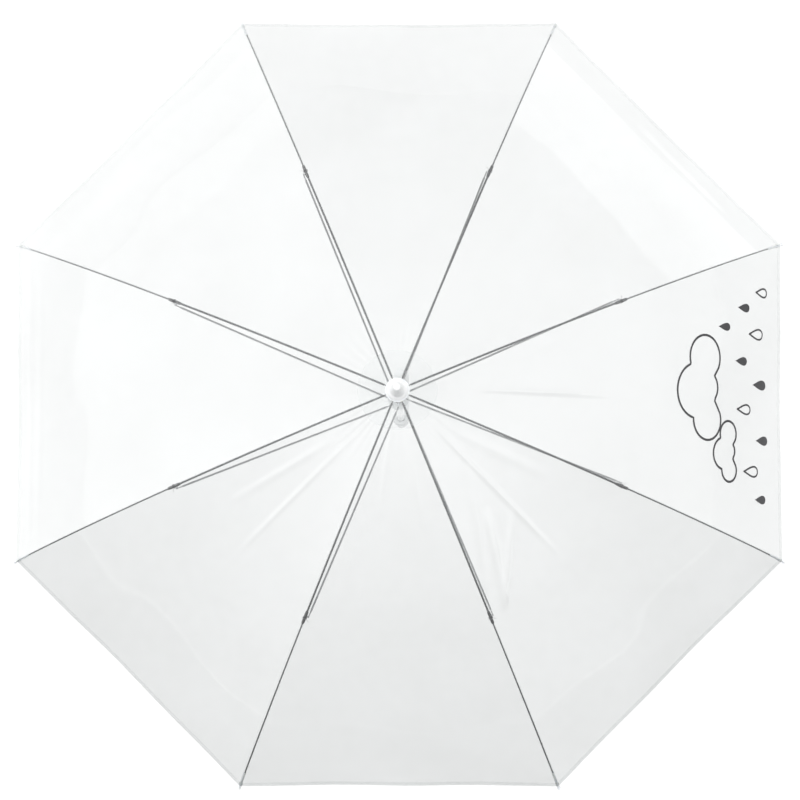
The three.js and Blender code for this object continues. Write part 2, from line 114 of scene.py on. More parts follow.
SHAFT_RADIUS = 0.005
SHAFT_BORE = 0.0042
CATCH_SLOT = (0.004, 0.0024, 0.0104)
CATCH_SLOT_DROP = 0.004  # from a catch's top to the middle of its slot
STOP_PIN_HOLE = (0.0021, 0.015, 0.0021)
GROOVE_HALF_HEIGHT = 0.0009
HUB_BORE = 0.0053  # radius of the crown's, the washer's and the ferrule's hole
SLIDING_BORE = 0.0054  # radius of the runner's and the handle's hole
SLOT_OVERCUT = 0.001
GRIP_RADIUS = 0.0095
CROOK_RADIUS = 0.03
CROOK_STRAIGHT = 0.014


def rib_azimuth(number):
    return (number - 0.5) * PANEL_TURN


def rib_matrix(number):
    """From a rib's own plane, x outward and z up from the crown circle, to the row frame."""
    return Matrix.Translation((0, 0, CROWN_Z)) @ Matrix.Rotation(rib_azimuth(number), 4, "Z")


def arc_point(turn, lift=0.0):
    """A point on a rib's arc: how far from the shaft's axis, and how high above the crown circle."""
    reach = DOME_RADIUS + lift
    return reach * math.sin(turn), reach * math.cos(turn) - DOME_RADIUS


# ---- materials ----


class Nodes:
    """A node tree with short calls for the few node kinds used here."""

    def __init__(self, tree):
        self.tree = tree

    def node(self, kind, inputs=None, **settings):
        made = self.tree.nodes.new(kind)
        for name, value in settings.items():
            setattr(made, name, value)
        for name, value in (inputs or {}).items():
            if isinstance(value, bpy.types.NodeSocket):
                self.tree.links.new(value, made.inputs[name])
            else:
                made.inputs[name].default_value = value
        return made

    def ramp(self, value, start, end, low, high):
        """A level that goes from low to high as the value goes from start to end, and no further."""
        inputs = {"Value": value, "From Min": start, "From Max": end, "To Min": low, "To Max": high}
        return self.node("ShaderNodeMapRange", inputs).outputs[0]

    def combine(self, operation, first, second):
        return self.node("ShaderNodeMath", {0: first, 1: second}, operation=operation).outputs[0]


class Shader(Nodes):
    """A material that varies with its place on the object."""

    def __init__(self, name):
        self.material = bpy.data.materials.new(name)
        self.material.use_nodes = True
        super().__init__(self.material.node_tree)
        self.tree.nodes.clear()
        self.place = self.node("ShaderNodeTexCoord").outputs["Object"]

    def noise(self, scale, detail=3.0, stretch=(1, 1, 1)):
        place = self.node("ShaderNodeMapping", {"Vector": self.place, "Scale": stretch}).outputs[0]
        inputs = {"Vector": place, "Scale": scale, "Detail": detail}
        return self.node("ShaderNodeTexNoise", inputs).outputs[0]

    def between(self, share, low, high):
        """A number from low to high as share goes from 0.3 to 0.7, where most of a noise lies."""
        return self.ramp(share, 0.3, 0.7, low, high)

    def mottle(self, share, first, second):
        inputs = {0: self.between(share, 0, 1), 6: (*first, 1), 7: (*second, 1)}
        return self.node("ShaderNodeMix", inputs, data_type="RGBA").outputs[2]

    def bump(self, height, strength, distance):
        inputs = {"Height": height, "Strength": strength, "Distance": distance}
        return self.node("ShaderNodeBump", inputs).outputs[0]

    def finish(self, surface):
        self.node("ShaderNodeOutputMaterial", {"Surface": surface.outputs[0]})
        return self.material


def solid_finish(name, first, second, rough, grain=900, stretch=(1, 1, 1), bump=0.00002, **sockets):
    """A closed surface whose colour, roughness and height vary with noise. Sockets are Principled's own."""
    shader = Shader(name)
    broad = shader.noise(60, 4)
    fine = shader.noise(grain, 3, stretch)
    inputs = {
        "Base Color": shader.mottle(broad, first, second),
        "Roughness": shader.between(fine, *rough),
        "Normal": shader.bump(fine, 0.6, bump),
    }
    inputs.update({socket.replace("_", " "): value for socket, value in sockets.items()})
    return shader.finish(shader.node("ShaderNodeBsdfPrincipled", inputs))


def film_finish(name, tint, haze, rough, shine):
    """Clear film: a faint tint of what is behind it, a mirror whose share rises from shine as it is seen
    more aslant, and a little milk. Both of its sides look the same."""
    shader = Shader(name)
    broad = shader.noise(9, 2)
    fine = shader.noise(400, 2)
    normal = shader.bump(shader.noise(22, 2), 0.2, 0.0005)
    clear = shader.node("ShaderNodeBsdfTransparent", {"Color": shader.mottle(broad, *tint)})
    gloss_inputs = {"Color": (1, 1, 1, 1), "Roughness": shader.between(fine, *rough), "Normal": normal}
    gloss = shader.node("ShaderNodeBsdfGlossy", gloss_inputs)
    slant = shader.node("ShaderNodeLayerWeight", {"Blend": 0.5, "Normal": normal}).outputs["Facing"]
    share = shader.ramp(shader.combine("POWER", slant, 4.0), 0, 1, shine, 1)
    glassy = shader.node("ShaderNodeMixShader", {0: share, 1: clear.outputs[0], 2: gloss.outputs[0]})
    milk = shader.node("ShaderNodeBsdfDiffuse", {"Color": (0.93, 0.95, 0.955, 1)})
    haze_share = shader.between(broad, *haze)
    mixed = {0: haze_share, 1: glassy.outputs[0], 2: milk.outputs[0]}
    return shader.finish(shader.node("ShaderNodeMixShader", mixed))


# Each tint is the two colours that a film's transparency varies between.
CLEAR_TINT = ((0.80, 0.81, 0.808), (0.818, 0.828, 0.828))
LAYER_TINT = ((0.93, 0.935, 0.935), (0.95, 0.955, 0.955))
PATCH_TINT = ((0.945, 0.95, 0.95), (0.965, 0.97, 0.97))
FILM = film_finish("clear_film", CLEAR_TINT, (0.02, 0.045), (0.05, 0.11), 0.089)
SEAM_FILM = film_finish("second_layer", LAYER_TINT, (0.01, 0.03), (0.08, 0.16), 0.008)
PATCH_FILM = film_finish("patch_film", PATCH_TINT, (0.02, 0.05), (0.05, 0.12), 0.012)
WHITE_PLASTIC = solid_finish(
    "white_plastic",
    (0.64, 0.65, 0.655),
    (0.70, 0.705, 0.71),
    (0.36, 0.5),
    Coat_Weight=0.1,
    Coat_Roughness=0.3,
)
MILKY_PLASTIC = solid_finish(
    "milky_plastic",
    (0.68, 0.70, 0.715),
    (0.76, 0.775, 0.785),
    (0.2, 0.35),
    Subsurface_Weight=0.4,
    Subsurface_Radius=(0.004, 0.004, 0.005),
)
ENAMEL = solid_finish(
    "white_enamel", (0.80, 0.805, 0.81), (0.86, 0.865, 0.87), (0.16, 0.28), 700, (1, 1, 0.2), Coat_Weight=0.5
)
DARK_STEEL = solid_finish(
    "dark_steel", (0.032, 0.033, 0.035), (0.058, 0.060, 0.063), (0.28, 0.48), 1500, (0.1, 1, 1), Metallic=0.6
)
STRETCHER_STEEL = solid_finish(
    "stretcher_steel", (0.30, 0.305, 0.31), (0.42, 0.425, 0.43), (0.24, 0.42), 1500, (0.1, 1, 1),
    Metallic=0.8,
)
ROD_STEEL = solid_finish(
    "rod_steel", (0.045, 0.046, 0.048), (0.082, 0.084, 0.088), (0.32, 0.5), 1800, (0.1, 1, 1), Metallic=0.5
)
BRIGHT_STEEL = solid_finish(
    "bright_steel", (0.50, 0.51, 0.53), (0.62, 0.63, 0.65), (0.18, 0.34), 1600, (1, 1, 0.15), Metallic=1.0
)
BLACK_PLASTIC = solid_finish("black_plastic", (0.016, 0.016, 0.018), (0.034, 0.034, 0.037), (0.35, 0.55))
INK = solid_finish("print_ink", (0.012, 0.012, 0.014), (0.03, 0.03, 0.034), (0.3, 0.5), 1400)
THREAD = solid_finish(
    "thread", (0.10, 0.10, 0.105), (0.20, 0.20, 0.21), (0.6, 0.8), 2600, (1, 1, 6), 0.00005
)


# ---- mesh helpers ----


def piece_from(name, points, faces, material, smooth=True):
    mesh = bpy.data.meshes.new(name)
    mesh.from_pydata([tuple(point) for point in points], [], faces)
    mesh.validate()
    if smooth:
        mesh.shade_smooth()
    mesh.materials.append(material)
    piece = bpy.data.objects.new(name, mesh)
    bpy.context.scene.collection.objects.link(piece)
    return piece


def copy_of(piece, name):
    """Another object with the same mesh."""
    made = bpy.data.objects.new(name, piece.data)
    bpy.context.scene.collection.objects.link(made)
    return made


def apply_modifiers(piece):
    bpy.context.view_layer.update()
    depsgraph = bpy.context.evaluated_depsgraph_get()
    mesh = bpy.data.meshes.new_from_object(piece.evaluated_get(depsgraph))
    piece.modifiers.clear()
    piece.data = mesh
    return piece


def bevel(piece, width, segments=2):
    modifier = piece.modifiers.new("edges", "BEVEL")
    modifier.width = width
    modifier.segments = segments
    modifier.limit_method = "ANGLE"
    modifier.angle_limit = math.radians(38)
    modifier.harden_normals = True
    return apply_modifiers(piece)


def cut(piece, *cutters):
    """Cuts the cutters out of the piece and removes them."""
    for cutter in cutters:
        modifier = piece.modifiers.new("cut", "BOOLEAN")
        modifier.object = cutter
        modifier.solver = "EXACT"
        apply_modifiers(piece)
        bpy.data.objects.remove(cutter)
    return shade_by_angle(piece)


def shade_by_angle(piece, degrees=32):
    """Smooth shading that stops at the sharp edges."""
    work = bmesh.new()
    work.from_mesh(piece.data)
    limit = math.radians(degrees)
    for edge in work.edges:
        edge.smooth = len(edge.link_faces) == 2 and edge.calc_face_angle(0) < limit
    for face in work.faces:
        face.smooth = True
    work.to_mesh(piece.data)
    work.free()
    return piece


def join(name, pieces):
    """One object from several that share a material."""
    work = bmesh.new()
    for piece in pieces:
        piece.data.transform(piece.matrix_basis)
        work.from_mesh(piece.data)
    work.to_mesh(pieces[0].data)
    work.free()
    for piece in pieces[1:]:
        bpy.data.objects.remove(piece)
    pieces[0].name = name
    pieces[0].matrix_basis = Matrix.Identity(4)
    return pieces[0]


def box_piece(size, centre, turn=0.0):
    """A plain block for cutting with, turned about the shaft's axis."""
    x, y, z = (side / 2 for side in size)
    corners = [Vector((i * x, j * y, k * z)) for k in (-1, 1) for j in (-1, 1) for i in (-1, 1)]
    place = Matrix.Rotation(turn, 4, "Z") @ Matrix.Translation(centre)
    faces = [(0, 2, 3, 1), (4, 5, 7, 6), (0, 1, 5, 4), (2, 6, 7, 3), (0, 4, 6, 2), (1, 3, 7, 5)]
    return piece_from("cutter", [place @ corner for corner in corners], faces, BRIGHT_STEEL, False)


def fillet(outline, radius, steps=3):
    """The closed outline with each corner rounded off, by less than half of the shorter side beside it."""
    most = 0.4  # of a side
    rounded = []
    count = len(outline)
    for index, corner in enumerate(outline):
        here = Vector(corner)
        back = Vector(outline[index - 1]) - here
        ahead = Vector(outline[(index + 1) % count]) - here
        reach = min(radius, most * back.length, most * ahead.length)
        start = here + back.normalized() * reach
        end = here + ahead.normalized() * reach
        for step in range(steps + 1):
            t = step / steps
            rounded.append((1 - t) ** 2 * start + 2 * t * (1 - t) * here + t * t * end)
    return rounded


def lathe(name, profile, material, segments=64):
    """A closed profile of (radius, height) turned about the shaft's axis. Points on the axis are merged."""
    points, faces = [], []
    count = len(profile)
    for step in range(segments):
        angle = 2 * math.pi * step / segments
        points += [(r * math.cos(angle), r * math.sin(angle), z) for r, z in profile]
    for step in range(segments):
        here, there = step * count, (step + 1) % segments * count
        for k in range(count):
            after = (k + 1) % count
            if profile[k][0] or profile[after][0]:
                faces.append((here + k, there + k, there + after, here + after))
    piece = piece_from(name, points, faces, material)
    return clean(piece)


def turned(name, outline, radius, material, segments):
    """A lathed piece whose outline has rounded corners, apart from those on the axis."""
    profile = []
    corners = fillet(outline, radius)
    per_corner = len(corners) // len(outline)
    for index, (reach, height) in enumerate(outline):
        rounded = corners[index * per_corner : (index + 1) * per_corner]
        profile += [(reach, height)] if reach == 0 else [tuple(point) for point in rounded]
    return lathe(name, profile, material, segments)


def clean(piece):
    """Merges doubled points and turns every face outward."""
    work = bmesh.new()
    work.from_mesh(piece.data)
    bmesh.ops.remove_doubles(work, verts=work.verts, dist=1e-7)
    bmesh.ops.recalc_face_normals(work, faces=work.faces)
    work.to_mesh(piece.data)
    work.free()
    return shade_by_angle(piece)


def sweep(name, path, section, material, closed=False):
    """A section carried along a path of (point, side, up) frames, with flat ends unless it is closed."""
    count = len(section)
    points = [point + side * a + up * b for point, side, up in path for a, b in section]
    rings = len(path)
    faces = []
    for ring in range(rings if closed else rings - 1):
        here, there = ring * count, (ring + 1) % rings * count
        for k in range(count):
            after = (k + 1) % count
            faces.append((here + k, here + after, there + after, there + k))
    if not closed:
        faces.append(tuple(range(count)))
        faces.append(tuple((rings - 1) * count + k for k in range(count)))
    return clean(piece_from(name, points, faces, material))


def circle(radius, steps):
    return [
        (radius * math.cos(2 * math.pi * k / steps), radius * math.sin(2 * math.pi * k / steps))
        for k in range(steps)
    ]


def channel_section(half_width, half_height, wall, mouth):
    """A pressed U with rounded corners. mouth is -1 for open below and 1 for open above."""
    inner = half_width - wall
    outline = [
        (-half_width, mouth * half_height),
        (-half_width, -mouth * half_height),
        (half_width, -mouth * half_height),
        (half_width, mouth * half_height),
        (inner, mouth * half_height),
        (inner, -mouth * (half_height - wall)),
        (-inner, -mouth * (half_height - wall)),
        (-inner, mouth * half_height),
    ]
    return fillet(outline, 0.0005)


# ---- the rib and stretcher parts, in a rib's own plane ----

SIDEWAYS = Vector((0, 1, 0))


def arc_frames(start, end, steps):
    frames = []
    for step in range(steps + 1):
        turn = start + (end - start) * step / steps
        x, z = arc_point(turn)
        frames.append((Vector((x, 0, z)), SIDEWAYS, Vector((math.sin(turn), 0, math.cos(turn)))))
    return frames


def line_frames(start, end, steps):
    along = (end - start).normalized()
    up = along.cross(SIDEWAYS)
    if up.z < 0:
        up = -up
    return [(start.lerp(end, step / steps), SIDEWAYS, up) for step in range(steps + 1)]


def eye_tab(start, end, material):
    """A flattened end: a strip from start, where it has a round eye with a hole, to end."""
    along = (end - start).normalized()
    up = along.cross(SIDEWAYS)
    count = 20
    ring_out, ring_in = [], []
    reach = (end - start).length
    for step in range(count):
        angle = 2 * math.pi * step / count
        out = along * math.cos(angle) + up * math.sin(angle)
        edge = out * EYE_RADIUS
        if abs(math.sin(angle)) * EYE_RADIUS < TAB_HALF_WIDTH and math.cos(angle) > 0:
            edge = along * reach + up * math.sin(angle) * EYE_RADIUS
        ring_out.append(start + edge)
        ring_in.append(start + out * EYE_HOLE)
    points = []
    for side in (-TAB_HALF_THICKNESS, TAB_HALF_THICKNESS):
        points += [point + SIDEWAYS * side for point in ring_out]
        points += [point + SIDEWAYS * side for point in ring_in]
    faces = []
    inner, far, far_inner = count, 2 * count, 3 * count  # where each ring of points starts, after the first
    for k in range(count):
        after = (k + 1) % count
        faces.append((k, after, inner + after, inner + k))
        faces.append((far + k, far_inner + k, far_inner + after, far + after))
        faces.append((k, far + k, far + after, after))
        faces.append((inner + k, inner + after, far_inner + after, far_inner + k))
    return clean(piece_from("eye_tab", points, faces, material))


def make_rib_inner():
    tab_end = RIB_PIVOT_RADIUS + TAB_LENGTH
    start = (tab_end - PART_OVERLAP) / DOME_RADIUS
    end = JOINT_TURN - (SLEEVE_HALF_LENGTH - PART_OVERLAP) / DOME_RADIUS
    section = channel_section(CHANNEL_HALF_WIDTH, CHANNEL_HALF_HEIGHT, SHEET_METAL, -1)
    channel = sweep("rib_channel", arc_frames(start, end, 60), section, DARK_STEEL)
    tab_x, tab_z = arc_point(start + 2 * PART_OVERLAP / DOME_RADIUS)
    eye = Vector((RIB_PIVOT_RADIUS, 0, 0))
    return join("rib_inner", [channel, eye_tab(eye, Vector((tab_x, 0, tab_z)), DARK_STEEL)])


def make_rib_outer():
    start = JOINT_TURN + (SLEEVE_HALF_LENGTH - ROD_INSERT) / DOME_RADIUS
    return sweep("rib_outer", arc_frames(start, RIM_TURN, 90), circle(ROD_RADIUS, 14), ROD_STEEL)


def make_stretcher():
    reach = math.sqrt(RUNNER_PIVOT_RADIUS**2 - STRETCHER_SIDE**2)
    start = Vector((reach, 0, RUNNER_Z - CROWN_Z))
    x, z = arc_point(JOINT_TURN, -JOINT_DROP)
    end = Vector((x, 0, z))
    along = (end - start).normalized()
    channel_start = start + along * (TAB_LENGTH - PART_OVERLAP)
    channel_end = end - along * (TAB_LENGTH - PART_OVERLAP)
    section = channel_section(CHANNEL_HALF_WIDTH, CHANNEL_HALF_HEIGHT, SHEET_METAL, 1)
    channel = sweep("channel", line_frames(channel_start, channel_end, 2), section, STRETCHER_STEEL)
    tabs = [
        eye_tab(start, channel_start + along * (2 * PART_OVERLAP), STRETCHER_STEEL),
        eye_tab(end, channel_end - along * (2 * PART_OVERLAP), STRETCHER_STEEL),
    ]
    piece = join("stretcher", [channel, *tabs])
    piece.data.transform(Matrix.Translation(SIDEWAYS * STRETCHER_SIDE))
    return piece


def make_rib_joint():
    """The moulded sleeve, with an ear for the stretcher and two ridges round each end."""
    half, high = SLEEVE_HALF_LENGTH, 0.0017
    ear_half, ear_foot = 0.0022, -JOINT_DROP - 0.0016
    outline = [
        (-half, -high),
        (-ear_half - 0.002, -high),
        (-ear_half, ear_foot),
        (ear_half, ear_foot),
        (ear_half + 0.002, -high),
        (half, -high),
        (half, high),
        (-half, high),
    ]
    outline = fillet(outline, 0.0006)
    sides = (-SLEEVE_HALF_THICKNESS, SLEEVE_HALF_THICKNESS)
    points = [(x, side, z) for side in sides for x, z in outline]
    count = len(outline)
    faces = [tuple(range(count)), tuple(range(2 * count - 1, count - 1, -1))]
    for k in range(count):
        after = (k + 1) % count
        faces.append((k, count + k, count + after, after))
    sleeve = clean(piece_from("rib_joint", points, faces, BLACK_PLASTIC))
    bevel(sleeve, 0.0004)
    ridge_width, ridge_height, ridge_half_length = 0.0018, 0.0019, 0.0003
    corners = ((-1, -1), (1, -1), (1, 1), (-1, 1))
    section = fillet([(ridge_width * side, ridge_height * up) for side, up in corners], 0.0006)
    ridges = []
    for middle in (-0.0058, -0.0042, 0.0042, 0.0058):
        ends = (middle - ridge_half_length, middle + ridge_half_length)
        path = [(Vector((x, 0, 0)), SIDEWAYS, Vector((0, 0, 1))) for x in ends]
        ridges.append(sweep("ridge", path, section, BLACK_PLASTIC))
    return join("rib_joint", [sleeve, *ridges])


def make_rivet():
    """The round-headed pin through the ear that the stretcher's eye turns on."""
    outline = [(0, 0), (0.0012, 0), (0.0012, 0.0026), (0.0006, 0.0026), (0.0006, 0.0043), (0, 0.0043)]
    pin = turned("rivet", outline, 0.0002, BRIGHT_STEEL, 20)
    pin.data.transform(Matrix.Translation((0, 0, -JOINT_DROP)) @ Matrix.Rotation(-math.pi / 2, 4, "X"))
    return pin


def make_tip():
    """A cap over the rod's end, with a ball end. Local x points outward along the rib's arc."""
    outline = [
        (0, 0.0006),
        (0.0012, 0.0006),
        (0.0012, -0.004),
        (0.0021, -0.004),
        (0.0021, 0.002),
        (0.0015, 0.0045),
        (0.0015, 0.0066),
    ]
    ball = []
    ball_radius, ball_middle = 0.0022, 0.0087
    for step in range(9):
        angle = math.radians(-42 + 132 * step / 8)
        ball.append((ball_radius * math.cos(angle), ball_middle + ball_radius * math.sin(angle)))
    ball[-1] = (0, ball[-1][1])
    piece = lathe("rib_tip", outline + ball, MILKY_PLASTIC, 24)
    piece.data.transform(Matrix.Rotation(math.pi / 2, 4, "Y"))
    return piece


def make_tip_sleeve():
    """The slim end of the tip, which covers the last of the rod."""
    start = RIM_TURN - TIP_SLEEVE / DOME_RADIUS
    end = RIM_TURN - TIP_SLEEVE_GAP / DOME_RADIUS
    section = circle(TIP_SLEEVE_RADIUS, 20)
    sleeve = sweep("tip_sleeve", arc_frames(start, end, 12), section, MILKY_PLASTIC)
    return bevel(sleeve, 0.0003)


def make_thread_tie():
    """Three turns of thread round the sleeve and through the film, with a loose end."""
    turns, steps = 3, 96
    path_points = []
    for step in range(steps + 1):
        angle = 2 * math.pi * turns * step / steps
        height = 0.0008 + 0.0031 * math.sin(angle)
        path_points.append(Vector((-0.0012 + 0.0024 * step / steps, 0.0024 * math.cos(angle), height)))
    last = path_points[-1]
    loose = [last + Vector((0.0004 * k, 0.0006 * k, 0.0004 * math.sin(k))) for k in range(1, 7)]
    return tube("thread_tie", path_points + loose, THREAD_RADIUS, 6, THREAD)


def tube(name, points, radius, sides, material):
    """A round tube along points, with frames carried on from one point to the next."""
    frames = []
    side = None
    for index, point in enumerate(points):
        before = points[max(index - 1, 0)]
        after = points[min(index + 1, len(points) - 1)]
        along = (after - before).normalized()
        if side is None:
            side = along.orthogonal().normalized()
        side = (side - along * side.dot(along)).normalized()
        frames.append((point, side, along.cross(side)))
    return sweep(name, frames, circle(radius, sides), material)


def on_arc(number, turn):
    """A rib's matrix at a place on its arc, with x along the arc and z outward."""
    x, z = arc_point(turn)
    return rib_matrix(number) @ Matrix.Translation((x, 0, z)) @ Matrix.Rotation(turn, 4, "Y")


def place_copy(master, name, matrix, body, node=None):
    piece = copy_of(master, name)
    piece.matrix_world = matrix
    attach(piece, body)
    if node:
        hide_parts(node)


def add_ribs():
    inner, outer, strut = make_rib_inner(), make_rib_outer(), make_stretcher()
    sleeve, rivet, tip, tie = make_rib_joint(), make_rivet(), make_tip(), make_thread_tie()
    tip_sleeve = make_tip_sleeve()
    for number in range(1, RIB_COUNT + 1):
        body = f"rib_{number}"
        flat = rib_matrix(number)
        at_joint = on_arc(number, JOINT_TURN)
        at_rim = on_arc(number, RIM_TURN)
        place_copy(inner, f"rib_channel_{number}", flat, body, f"rib_inner_{number}")
        place_copy(outer, f"rib_rod_{number}", flat, body, f"rib_outer_{number}")
        place_copy(sleeve, f"joint_sleeve_{number}", at_joint, body, f"rib_joint_{number}")
        place_copy(rivet, f"joint_rivet_{number}", at_joint, body)
        place_copy(tie, f"thread_tie_{number}", at_joint, body)
        place_copy(tip, f"tip_cap_{number}", at_rim, body, f"rib_tip_{number}")
        place_copy(tip_sleeve, f"tip_sleeve_{number}", flat, body)
        arm = f"stretcher_{number}"
        place_copy(strut, f"stretcher_channel_{number}", flat, arm, arm)
    for master in (inner, outer, strut, sleeve, rivet, tip, tip_sleeve, tie):
        bpy.data.objects.remove(master)


# ---- the film ----

START_TURN = FILM_HOLE / DOME_RADIUS
# Creases and slack folds of single panels: where each starts and ends, as (across, along) from the middle of
# the panel's own crown end, then its height and half width.
CREASES = {
    1: [((-0.19, 0.52), (0.17, 0.52), 0.0007, 0.006)],
    4: [((-0.17, 0.545), (0.19, 0.545), 0.0006, 0.005), ((-0.15, 0.52), (0.17, 0.525), 0.0005, 0.006)],
    5: [((0.002, 0.09), (0.0, 0.27), 0.0012, 0.0025), ((-0.012, 0.10), (-0.045, 0.24), 0.0010, 0.004)],
    6: [((0.01, 0.05), (0.03, 0.17), 0.0009, 0.003), ((-0.008, 0.05), (-0.02, 0.15), 0.0009, 0.003)],
    7: [
        ((0.0, 0.07), (0.0, 0.275), 0.0022, 0.0028),
        ((-0.028, 0.19), (-0.082, 0.285), 0.0054, 0.0046),
        ((-0.0065, 0.21), (-0.082, 0.285), 0.0050, 0.0043),
        ((-0.009, 0.138), (-0.0845, 0.25), 0.0048, 0.0046),
        ((0.012, 0.08), (0.05, 0.20), 0.0013, 0.006),
    ],
    8: [((0.001, 0.10), (-0.003, 0.27), 0.0026, 0.0032), ((0.03, 0.12), (0.07, 0.23), 0.0011, 0.005)],
}


def ridge(across, along, crease):
    """The height of one crease at a point of its panel: a round ridge that dies out just past its ends."""
    (x0, y0), (x1, y1), height, half = crease
    past = 0.1  # of the crease's length
    dx, dy = x1 - x0, y1 - y0
    length = math.hypot(dx, dy)
    share = ((across - x0) * dx + (along - y0) * dy) / length**2
    if not -past < share < 1 + past:
        return 0.0
    off = ((across - x0) * dy - (along - y0) * dx) / length
    fade = math.sin(math.pi * min(max((share + past) / (1 + 2 * past), 0), 1)) ** 0.7
    return height * fade * math.exp(-((off / half) ** 2))


def panel_width(turn):
    """The straight distance between two ribs at a turn from the crown."""
    return 2 * DOME_RADIUS * math.sin(turn) * math.sin(PANEL_TURN / 2)


def film_bulge(number, across_share, turn):
    """How far the film stands off the straight surface between its ribs: sag, slack waves and creases."""
    free = 4 * across_share * (1 - across_share)
    along_share = (turn - START_TURN) / (RIM_TURN - START_TURN)
    across = (across_share - 0.5) * panel_width(turn)
    along = DOME_RADIUS * turn
    height = -FILM_SAG * free * math.sin(math.pi * min(max(along_share, 0), 1))
    phase = 1.7 * number  # each panel has waves of its own
    # Slack waves, which grow towards the rim.
    waves = math.sin(38 * across + 17 * along + phase)
    waves += 0.7 * math.sin(61 * along - 23 * across + 2.3 * phase)
    height += 0.0006 * free * waves * along_share
    # Fine pleats round the cap.
    pleats = math.sin(2 * math.pi * (5 + number % 3) * across_share + phase)
    height += 0.00025 * math.sqrt(free) * pleats * math.exp(-(((along - 0.05) / 0.045) ** 2))
    # A faint fold down the panel's middle, as the film was folded flat.
    height += 0.0001 * math.exp(-((across / 0.0018) ** 2)) * min(along_share * 4, 1)
    for crease in CREASES.get(number, []):
        height += free**0.3 * ridge(across, along, crease)
    return height


def film_point(number, across_share, turn, lift=0.0):
    """A point of panel number's film, across_share of the way from its rib to the next, in the row frame."""
    turn_on_film = min(turn, RIM_TURN)
    radius, height = arc_point(turn, FILM_LIFT + lift + film_bulge(number, across_share, turn_on_film))
    first, second = rib_azimuth(number), rib_azimuth(number + 1)
    start = Vector((radius * math.cos(first), radius * math.sin(first), CROWN_Z + height))
    end = Vector((radius * math.cos(second), radius * math.sin(second), CROWN_Z + height))
    return start.lerp(end, across_share)


def rim_turn(across_share):
    """The turn at which the film ends: its edge bows in between two ribs."""
    return RIM_TURN - 4 * across_share * (1 - across_share) * HEM_SCALLOP / DOME_RADIUS


def grid_faces(rows, columns):
    faces = []
    for row in range(rows - 1):
        for column in range(columns - 1):
            corner = row * columns + column
            faces.append((corner, corner + columns, corner + columns + 1, corner + 1))
    return faces


def film_sheet(number):
    """One panel of film, with its rim folded under and welded."""
    points = []
    columns = FILM_COLUMNS + 1
    shares = [column / FILM_COLUMNS for column in range(columns)]
    for row in range(FILM_ROWS + 1):
        share = (row / FILM_ROWS) ** ROW_SPREAD
        for across in shares:
            last = rim_turn(across) - HEM_BEND / DOME_RADIUS
            points.append(film_point(number, across, START_TURN + (last - START_TURN) * share))
    for back, lift in HEM_ROWS:
        for across in shares:
            points.append(film_point(number, across, rim_turn(across) - back / DOME_RADIUS, lift))
    rows = FILM_ROWS + 1 + len(HEM_ROWS)
    sheet = piece_from(f"film_panel_{number}", points, grid_faces(rows, columns), FILM)
    sheet.data.materials.append(SEAM_FILM)
    under = len(HEM_ROWS) - 1  # rows of faces in the second layer
    layers = np.zeros(len(sheet.data.polygons), np.int32)
    layers[-under * FILM_COLUMNS :] = 1
    sheet.data.polygons.foreach_set("material_index", layers)
    return shade_by_angle(sheet)


def between_ribs(piece, number):
    """Bakes the piece's place into its mesh and works out each point's turn from its rib, which nothing then
    uses.
    """
    start = film_point(number, 0, RIM_TURN)
    end = film_point(number, 1, RIM_TURN)
    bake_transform(piece)
    places = np.array([vertex.co for vertex in piece.data.vertices])
    turned = np.arctan2(places[:, 1], places[:, 0]) - rib_azimuth(number)
    turned = (turned + math.pi) % (2 * math.pi) - math.pi


def seam_strips(number):
    """The welded overlap along both sides of a panel, which meets the next panels' strips."""
    rows = 120
    offsets = (0, 0.5, 1)  # of a strip's width
    first_turn = SEAM_START / DOME_RADIUS
    last_turn = RIM_TURN - SEAM_END_GAP / DOME_RADIUS
    points, faces = [], []
    for at_next_rib in (False, True):
        start = len(points)
        for row in range(rows + 1):
            turn = first_turn + (last_turn - first_turn) * row / rows
            for offset in offsets:
                share = min(offset * SEAM_HALF / panel_width(turn), 0.45)
                across = 1 - share if at_next_rib else share
                points.append(film_point(number, across, turn, SEAM_LIFT))
        faces += [tuple(start + k for k in face) for face in grid_faces(rows + 1, len(offsets))]
    return piece_from(f"welded_seam_{number}", points, faces, SEAM_FILM)


def patch_sector(number):
    """An eighth of the round reinforcing patch under the cap."""
    rows, columns = 18, 17
    points = []
    for row in range(rows + 1):
        radius = FILM_HOLE + (PATCH_RADIUS - FILM_HOLE) * row / rows
        for column in range(columns):
            across = column / (columns - 1)
            turn = math.asin(radius / DOME_RADIUS / chord_share(across))
            points.append(film_point(number, across, turn, PATCH_LIFT))
    return piece_from(f"hub_patch_{number}", points, grid_faces(rows + 1, columns), PATCH_FILM)


def chord_share(across_share):
    """How far out a panel's straight line from rib to rib lies, as a share of the ribs' distance."""
    azimuth = PANEL_TURN / 2
    half_chord = (across_share - 0.5) * 2 * math.sin(azimuth)
    return math.hypot(math.cos(azimuth), half_chord)


def add_film():
    for number in range(1, RIB_COUNT + 1):
        film = film_sheet(number)
        between_ribs(film, number)
        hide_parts(f"canopy_panel_{number}")
        seam = seam_strips(number)
        between_ribs(seam, number)
        patch = patch_sector(number)
        between_ribs(patch, number)


# ---- the print: a plain cloud with rain, on the panel across +X ----

PRINT_PANEL = 8
PRINT_LIFT = 0.0004
PRINT_HALF_LINE = 0.0014
DROP_HALF_LINE = 0.8 * PRINT_HALF_LINE
# Each mark's place is (across, along) on its panel, as for the creases, and then its size.
CLOUDS = [(0.012, 0.405, 0.062), (-0.062, 0.452, 0.036)]
